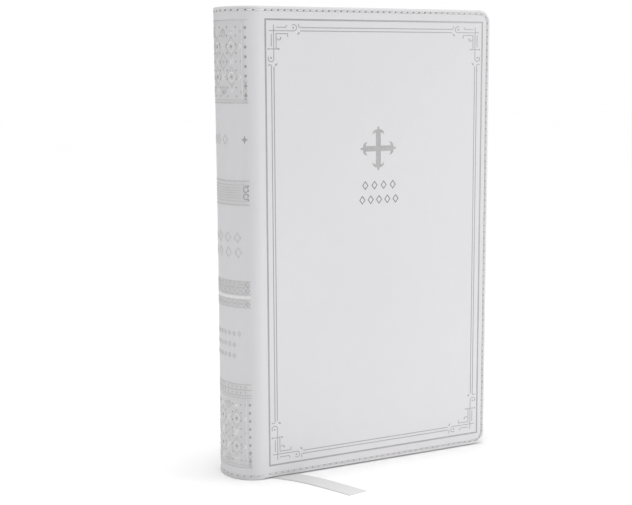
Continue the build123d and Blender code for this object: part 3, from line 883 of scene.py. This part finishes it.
def bar_recipe():
    """Straight stamped lines on the spine, repeated up or across it."""
    recipe = Recipe(
        "stamped_lines", Width=30 * MM, Line=0.4 * MM, Turn=0.0, Count=1, Step=(0.0, 0.0, 0.0),
        Middle=(0.0, 0.0, 0.0), Thickness=0.1 * MM,
    )
    given = recipe.given
    bar = recipe.shape(
        "MeshCube", Size=recipe.join(given["Width"], given["Thickness"], given["Line"]),
        Vertices_X=LINE_STEPS, Vertices_Y=2, Vertices_Z=2,
    )
    turn = recipe.join(0.0, given["Turn"], 0.0)
    bar = recipe.shape("Transform", Geometry=bar, Rotation=turn)
    first = recipe.vector(
        "ADD", recipe.vector("ADD", given["Middle"], (0.0, SPINE_FACE, 0.0)),
        recipe.vector("MULTIPLY", given["Step"], recipe.join(*[(1 - given["Count"]) / 2] * 3)),
    )
    line = recipe.row(given["Count"], given["Step"], first)
    recipe.finish(wrapped(recipe, recipe.copied(bar, line)))
    return recipe


# ------------------------------------------------------------------ covers and spine
def cover_skin(body):
    """A cover's leather: the stamped and grooved skin, cut fine at the hinge."""
    node = body + "_leather"
    bm = bmesh.new()
    bm.from_mesh(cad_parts[node].data)
    bmesh.ops.remove_doubles(bm, verts=bm.verts, dist=1e-6)
    for cut in range(1, CUTS_AT_HINGE + 1):
        bmesh.ops.bisect_plane(
            bm, geom=bm.verts[:] + bm.edges[:] + bm.faces[:], dist=1e-7,
            plane_co=(HINGE_X + cut * CUT_STEP, 0, 0), plane_no=(1, 0, 0),
        )
    for vert in bm.verts:
        if vert.co.x < HINGE_X + CUT_STEP / 2:
            vert.co.x = HINGE_X - SPINE_LAP
    smooth_by_angle(bm, 40)
    piece = from_bmesh(bm, body + "_skin", finishes["white_leather"])
    bend_with(piece, body, "white_leather", BEND_START, BEND_END, node)


def spine_section():
    """The spine leather's section as (height, depth), from its face round the turned-in ends."""
    round_off, corner_steps = FOLDED_LEATHER / 2, 8
    groove = [(-0.5, 0), (-0.4, 0.12), (-0.2, 0.3), (0.2, 0.3), (0.4, 0.12), (0.5, 0)]
    low = [(STITCH_INSET + height * MM, depth * MM) for height, depth in groove]
    face = [(round_off, 0.0), *low]
    face += [(height * MM, 0.0) for height in range(6, 214, 6)]
    face += [(HEIGHT - height, depth) for height, depth in reversed(low)]
    ends = []
    for turn in range(corner_steps + 1):
        angle = math.pi * turn / corner_steps
        height = HEIGHT - round_off + round_off * math.sin(angle)
        ends.append((height, round_off - round_off * math.cos(angle)))
    inside = [
        (HEIGHT - TURN_IN, FOLDED_LEATHER), (HEIGHT - TURN_IN, LEATHER),
        (TURN_IN, LEATHER), (TURN_IN, FOLDED_LEATHER),
    ]
    tail = [(HEIGHT - height, depth) for height, depth in reversed(ends)]
    return face + ends + inside + tail[:-1]


def spine_skin():
    """The rounded spine's leather, a little waisted, with its grooves for the end stitching."""
    section = spine_section()
    bm = bmesh.new()
    rings = []
    for step in range(SPINE_STEPS + 1):
        angle = math.pi * (step / SPINE_STEPS - 0.5)
        ring = []
        for height, depth in section:
            waist = SPINE_WAIST * math.sin(math.pi * height / HEIGHT)
            x = HINGE_X - (SPINE_DEPTH - waist - depth) * math.cos(angle)
            ring.append(bm.verts.new((x, (HALF - depth) * math.sin(angle), height)))
        rings.append(ring)
    count = len(section)
    for first, second in zip(rings, rings[1:]):
        for index in range(count):
            after = (index + 1) % count
            bm.faces.new((first[index], first[after], second[after], second[index]))
    bm.faces.new(rings[0])
    bm.faces.new(list(reversed(rings[-1])))
    bmesh.ops.recalc_face_normals(bm, faces=bm.faces)
    for face in bm.faces:
        face.smooth = True
    for edge in bm.edges:
        if len(edge.link_faces) == 2:
            edge.smooth = edge.calc_face_angle(0) < math.radians(50)
    piece = from_bmesh(bm, "spine_skin", finishes["white_leather"])
    settle(piece, "text_block", "white_leather", "spine_leather")


# ------------------------------------------------------------------ stitching
def cover_path(side, low):
    """The stitch line round one cover, in the bottom of its groove."""
    y = side * (HALF - GROOVE_DEPTH)
    left, right = HINGE_X + 1.0 * MM, FORE_X - STITCH_INSET
    bottom, top, turn = low + STITCH_INSET, HEIGHT - STITCH_INSET, CORNER_RADIUS - STITCH_INSET
    corner_steps = 8
    points = [(left, y, top)]
    for centre_z, first in ((top - turn, 90), (bottom + turn, 0)):
        for step in range(corner_steps + 1):
            angle = math.radians(first - 90 * step / corner_steps)
            x = right - turn + turn * math.cos(angle)
            points.append((x, y, centre_z + turn * math.sin(angle)))
    points.append((left, y, bottom))
    return points


def spine_path(height):
    """The stitch line round the spine at one height."""
    reach, steps = 84, 48
    points = []
    for step in range(steps + 1):
        angle = math.radians(reach * (2 * step / steps - 1))
        x = HINGE_X - (SPINE_DEPTH - GROOVE_DEPTH) * math.cos(angle)
        points.append((x, (HALF - GROOVE_DEPTH) * math.sin(angle), height))
    return points


def path_mesh(points):
    """A chain of edges for a recipe to follow."""
    mesh = bpy.data.meshes.new("path")
    mesh.from_pydata(points, [(index, index + 1) for index in range(len(points) - 1)], [])
    return mesh


STITCH = {
    "Pitch": STITCH_PITCH, "Slant": 0.07 * MM, "Length": 2.55 * MM, "Thickness": 0.52 * MM,
    "Crown": 0.34 * MM, "Sink": 0.1 * MM,
}
# Flat dark discs halfway between stitches: painted shade for the shadow inside each needle hole.
HOLE_SHADE = {
    "Pitch": STITCH_PITCH, "Slant": 0.07 * MM, "Length": 0.62 * MM, "Thickness": 0.6 * MM,
    "Crown": 0.02 * MM, "Sink": 0.0, "Shift": STITCH_PITCH / 2,
}


def add_stitching(recipe):
    """Thread round both covers and across the spine at head and tail, with dark discs of painted
    shade at the needle holes.
    """
    thread = finishes["stitching_thread"]
    for side, body, low in ((-1, "front_cover", FRONT_LIFT), (1, "back_cover", 0.0)):
        path = path_mesh(cover_path(side, low))
        level = {"Centre": (0.0, 0.0, 0.0), "Bulge": (0.0, 1.0, 0.0)}
        node = body + "_stitching"
        rows = recipe.make(node + "_thread", thread, path, Seed=3, **STITCH, **level)
        bend_with(rows, body, "stitching_thread", BEND_START, BEND_END, node)
        # the hole discs carry painted shade
        hole_shades = recipe.make(node + "_holes", needle_hole, path, Seed=4, **HOLE_SHADE, **level)
        bend_with(hole_shades, body, "white_leather", BEND_START, BEND_END)
    rounded = {"Centre": (HINGE_X, 0.0, 0.0), "Bulge": (1 / SPINE_DEPTH**2, 1 / HALF**2, 0.0)}
    rows, hole_shades = [], []
    for number, height in enumerate((STITCH_INSET, HEIGHT - STITCH_INSET)):
        path = path_mesh(spine_path(height))
        rows.append(
            recipe.make(f"row_{number}", thread, path, Seed=5 + number, **STITCH, **rounded)
        )
        hole_shades.append(
            recipe.make(f"holes_{number}", needle_hole, path, Seed=7 + number, **HOLE_SHADE, **rounded)
        )
    rows, hole_shades = joined(rows, "spine_stitching_thread"), joined(hole_shades, "spine_stitching_holes")
    settle(rows, "text_block", "stitching_thread", "spine_stitching")
    settle(hole_shades, "text_block", "white_leather")


# ------------------------------------------------------------------ stamping on the spine
def add_spine_stamping(motifs, bars):
    """Everything stamped on the spine; places and sizes here are in millimetres."""
    made = {tone: [] for tone in STAMPS}

    def motif(tone, middle, height, radius, aspect=1.3, stroke=0.35, sides=4, solid=False,
              columns=1, spacing=4.0, rows=1, row_spacing=4.0):
        made[tone].append(motifs.make(
            "motif", STAMPS[tone], Sides=sides, Solid=solid, Radius=radius * MM, Aspect=aspect,
            Stroke=stroke * MM, Columns=columns, Spacing=spacing * MM, Rows=rows,
            Row_Spacing=row_spacing * MM, Middle=(middle * MM, 0.0, height * MM),
        ))

    def line(tone, height, width=35.4, thick=0.35, middle=0.0, turn=0.0, count=1, step=0.0):
        made[tone].append(bars.make(
            "line", STAMPS[tone], Width=width * MM, Line=thick * MM, Turn=turn, Count=count,
            Step=(0.0, 0.0, step * MM), Middle=(middle * MM, 0.0, height * MM),
        ))

    def done(name, node):
        """Joins what has been stamped since the last call; the first piece replaces the node."""
        stands_for = [node]
        for tone, pieces in made.items():
            if pieces:
                settle(joined(pieces, f"{name}_{tone}"), "text_block", "silver_foil", *stands_for)
                pieces.clear()
                stands_for = []

    def panel(low, high, border, weight):
        """A lattice of lozenges with rings and dots, between borders that thicken at the foot."""
        middle, tall, foot = (low + high) / 2, high - low, low + border / 2
        line("worn", low + 0.2, thick=0.4)
        line("worn", high - 0.2, thick=0.3)
        line("worn", low + 1.5, 31.0, 0.3)
        for side in (-16.6, 16.6):
            motif("foil", side, middle, 0.62, 1.2, solid=True, sides=8, rows=8,
                  row_spacing=(tall - 3.0) / 8)
            motif("worn", side, foot, 0.9, 1.1, 0.3, rows=int(border / 2), row_spacing=2.1)
            motif("foil", side, foot, 0.42, 1.5, solid=True, rows=int(border / 2.5),
                  row_spacing=2.3)
            line("pearl", middle, tall - 3.0, 0.3, math.copysign(14.9, side), math.pi / 2)
        mesh, mesh_rows = 9.6, 13.44
        pairs = {"columns": 2, "spacing": mesh}
        grid = {"columns": 3, "spacing": mesh, "rows": 2, "row_spacing": mesh_rows}
        motif("pearl", 0.0, middle, mesh / 2, 1.4, 0.7 * weight, **grid)
        motif("pearl", 0.0, middle, mesh / 2, 1.4, 0.5 * weight, **pairs)
        motif("worn", 0.0, middle, 3.1, 1.4, 0.35, **grid)
        motif("pearl", 0.0, middle, 1.7, 1.2, 0.35, sides=12, **grid)
        motif("foil", 0.0, middle, 0.6, 1.3, solid=True, **grid)
        motif("worn", 0.0, middle, 2.6, 1.4, 0.35, **pairs)
        motif("worn", 0.0, middle, 0.7, 1.3, solid=True, columns=4, spacing=mesh, rows=3,
              row_spacing=mesh_rows)
        motif("worn", 0.0, middle, 1.4, 1.2, 0.3, sides=10, rows=2, row_spacing=25.6, **pairs)
        motif("foil", 0.0, middle, 0.35, 1.4, solid=True, columns=6, spacing=mesh / 2,
              rows=int(tall / 4), row_spacing=3.84)

    panel(175.8, 213.0, 11.0, 0.8)
    done("spine_head_stamping", "spine_head_panel")
    panel(5.8, 39.8, 9.0, 1.2)
    done("spine_tail_stamping", "spine_tail_panel")
    for height, thick in ((129.9, 0.55), (140.8, 0.55), (131.7, 0.25), (139.0, 0.25)):
        line("worn", height, thick=thick)
    line("worn", 135.35, 27.0, 0.22, count=5, step=1.15)
    for height in (40.8, 43.4, 46.0, 82.4, 85.8, 88.6, 91.8, 94.6):
        line("worn", height, thick=0.40)
    for sign in (-1, 1):
        motif("foil", sign * 15.8, 135.35, 1.2, 1.1, 0.38, sides=10, rows=2, row_spacing=3.3)
        motif("foil", sign * 17.0, 135.35, 0.5, 1.3, solid=True, rows=4, row_spacing=2.1)
        for height in (84.1, 90.2, 93.2):
            motif("foil", sign * 16.2, height, 1.0, 1.1, 0.3)
    motif("worn", 0.0, 84.1, 1.1, 1.1, 0.28, columns=10, spacing=3.1)
    motif("worn", 0.0, 84.1, 0.35, 1.0, solid=True, sides=8, columns=9, spacing=3.1)
    motif("worn", 0.0, 90.2, 1.1, 1.05, 0.28, sides=12, columns=10, spacing=3.1)
    motif("worn", 0.0, 90.2, 0.4, 1.0, solid=True, columns=9, spacing=3.1)
    line("pearl", 87.2, thick=1.3)
    for height in (42.1, 44.7):
        motif("pearl", 0.0, height, 0.8, 1.0, 0.3, columns=14, spacing=2.4)
        motif("foil", 0.0, height, 0.3, 1.0, solid=True, columns=13, spacing=2.4)
    motif("worn", 0.0, 93.2, 0.9, 1.1, 0.28, columns=12, spacing=2.6)
    done("spine_band_stamping", "spine_band_lines")
    rows = (
        (159.5, 3, 5.0, 1.6), (114.8, 5, 5.6, 1.75), (107.9, 5, 5.8, 1.75),
        (69.9, 9, 2.9, 0.8), (64.6, 7, 2.9, 0.8), (59.4, 7, 2.9, 0.8),
    )
    for height, count, spacing, radius in rows:
        motif("worn", 0.0, height, radius, 1.3, 0.36, columns=count, spacing=spacing)
    for sign in (-1, 1):
        motif("foil", sign * 15.6, 159.5, 0.9, 1.1, 0.4)
        line("foil", 159.5, 3.0, 0.4, sign * 15.6)
        line("foil", 159.5, 3.4, 0.4, sign * 15.6, math.pi / 2)
    done("spine_mark_rows", "spine_marks")


# ------------------------------------------------------------------ paper
def add_leaves(recipe):
    """Sixteen sections and six single leaves; the inner ten sections ride on the text block."""
    for number in range(1, 17):
        turning = number in (1, 2, 3, 14, 15, 16)
        body = f"section_{number:02d}" if turning else "text_block"
        node = f"section_{number:02d}_leaves" if turning else f"section_{number:02d}"
        low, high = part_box(node)
        pitch = (high[1] - low[1]) / LEAVES_IN_SECTION
        leaves = recipe.make(
            node + "_stack", leaf_papers["thin_paper"], Count=LEAVES_IN_SECTION,
            First=low[1] + pitch / 2, Pitch=pitch, Thickness=pitch * 0.86, Low=low[2],
            High=high[2], Fore=BLOCK_FORE, Back=low[0] if turning else HINGE_X,
            Back_Depth=0.0 if turning else BLOCK_BACK, Ruffle=0.22 * MM, Seed=number,
        )
        if turning:
            bend_with(leaves, body, "thin_paper", *LEAF_BEND, node)
        else:
            settle(leaves, body, "thin_paper", node)
    singles = (
        ("front_flyleaf", "endpaper"), ("presentation_leaf", "plate_paper"),
        ("title_leaf", "plate_paper"), ("back_flyleaf", "endpaper"),
        ("map_leaf_2", "plate_paper"), ("map_leaf_1", "plate_paper"),
    )
    for seed, (node, paper) in enumerate(singles):
        low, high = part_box(node)
        thick = high[1] - low[1]
        leaf = recipe.make(
            node + "_sheet", leaf_papers[paper], Count=1, First=(low[1] + high[1]) / 2,
            Pitch=thick, Thickness=thick * 0.8, Low=low[2], High=high[2], Fore=BLOCK_FORE,
            Back=low[0], Back_Depth=0.0, Ruffle=0.2 * MM, Seed=40 + seed,
        )
        bend_with(leaf, node, paper, *LEAF_BEND, node)


def add_headbands(recipe):
    """Silk wrapped over a cord, on the back of the leaves at head and tail."""
    silk = finishes["band_silk"]
    reach, steps = 9.6 * MM, 32
    for name in ("headband", "tailband"):
        low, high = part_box(name)
        height = (low[2] + high[2]) / 2
        points = []
        for step in range(steps + 1):
            y = reach * (2 * step / steps - 1)
            x = HINGE_X - BLOCK_BACK * math.sqrt(1 - (y / BLOCK_HALF) ** 2)
            points.append((x, y, height))
        wraps = recipe.make(
            name + "_wraps", silk, path_mesh(points), Pitch=0.42 * MM, Length=1.62 * MM,
            Thickness=0.44 * MM, Crown=0.5 * MM, Sink=0.0, Turn=math.pi / 2, Slant=0.06 * MM,
            Centre=(HINGE_X, 0.0, height), Bulge=(1 / BLOCK_BACK**2, 1 / BLOCK_HALF**2, 0.0),
            Seed=11,
        )
        core = bpy.data.curves.new(name + "_core", "CURVE")
        core.dimensions = "3D"
        core.bevel_depth = 0.62 * MM
        core.use_fill_caps = True
        spline = core.splines.new("POLY")
        spline.points.add(len(points) - 1)
        for point, place in zip(spline.points, points):
            point.co = (*place, 1)
        holder = bpy.data.objects.new(name + "_core", core)
        scene.collection.objects.link(holder)
        bpy.context.view_layer.update()
        tube = piece_from(bpy.data.meshes.new_from_object(holder), name + "_cord", silk)
        bpy.data.objects.remove(holder)
        settle(joined([tube, wraps], name + "_silk"), "text_block", "band_silk", name)


# ------------------------------------------------------------------ putting it together
set_camera()
set_table()
set_lights()
ribbon_tail()

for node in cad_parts.values():
    for held in node.material_slots:
        name = held.material.name.split(".")[0] if held.material else ""
        held.material = finishes.get(name, finishes["white_leather"])

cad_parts["front_ornament_rows"].material_slots[0].material = title_foil

stitches, leaves, motifs, bars = stitch_recipe(), leaf_recipe(), motif_recipe(), bar_recipe()
cover_skin("front_cover")
cover_skin("back_cover")
spine_skin()
add_stitching(stitches)
add_spine_stamping(motifs, bars)
add_leaves(leaves)
add_headbands(stitches)
ribbon_between_leaves()
